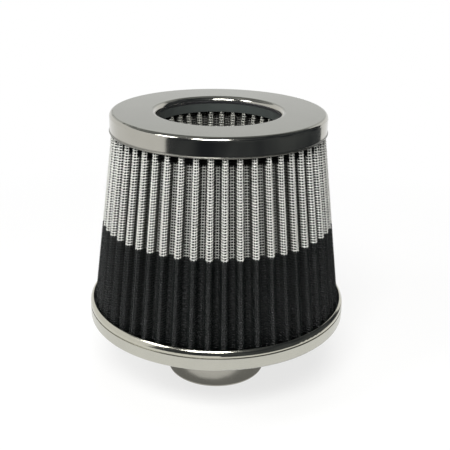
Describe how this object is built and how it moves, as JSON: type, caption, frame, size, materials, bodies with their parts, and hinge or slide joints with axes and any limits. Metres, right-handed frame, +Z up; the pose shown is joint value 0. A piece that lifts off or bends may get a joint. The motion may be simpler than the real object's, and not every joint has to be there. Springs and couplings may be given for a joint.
{
  "type": "performance air filter",
  "caption": "Conical pleated wire-cloth and gauze engine air filter with an open ring cap, an inner inverted pleated cone, a polished base pan and a plain round neck.",
  "frame": {"origin": "centre of the neck's open lower rim, on which the filter stands", "axes": "+Z up along the filter's axis from the neck to the cap; the seams of both packs lie towards +Y"},
  "size_m": [0.1538, 0.1538, 0.1635],
  "materials": {
    "polished_steel": "polished, with fine drawn lines round the rings",
    "bright_cloth": "bright plain-woven wire",
    "black_cloth": "black coated plain-woven wire",
    "cotton_gauze": "dark dyed cotton gauze",
    "collar_rubber": "moulded dark grey rubber",
    "gasket_rubber": "cut black rubber sheet",
    "potting_resin": "cast dark resin",
    "plain_steel": "plain rolled steel"
  },
  "bodies": {
    "root": {"top_cap": "polished_steel", "throat_collar": "collar_rubber", "top_potting": "potting_resin", "outer_screen_bright": "bright_cloth", "outer_screen_black": "black_cloth", "outer_gauze": "cotton_gauze", "outer_backing_screen": "bright_cloth", "outer_seam_strip": "plain_steel", "inner_screen": "bright_cloth", "inner_gauze": "cotton_gauze", "inner_backing_screen": "bright_cloth", "inner_seam_strip": "plain_steel", "cone_end_cup": "plain_steel", "cone_end_potting": "potting_resin", "base_pan": "polished_steel", "base_potting": "potting_resin", "neck": "polished_steel", "neck_gasket": "gasket_rubber", "clench_ring": "plain_steel"}
  },
  "joints": []
}
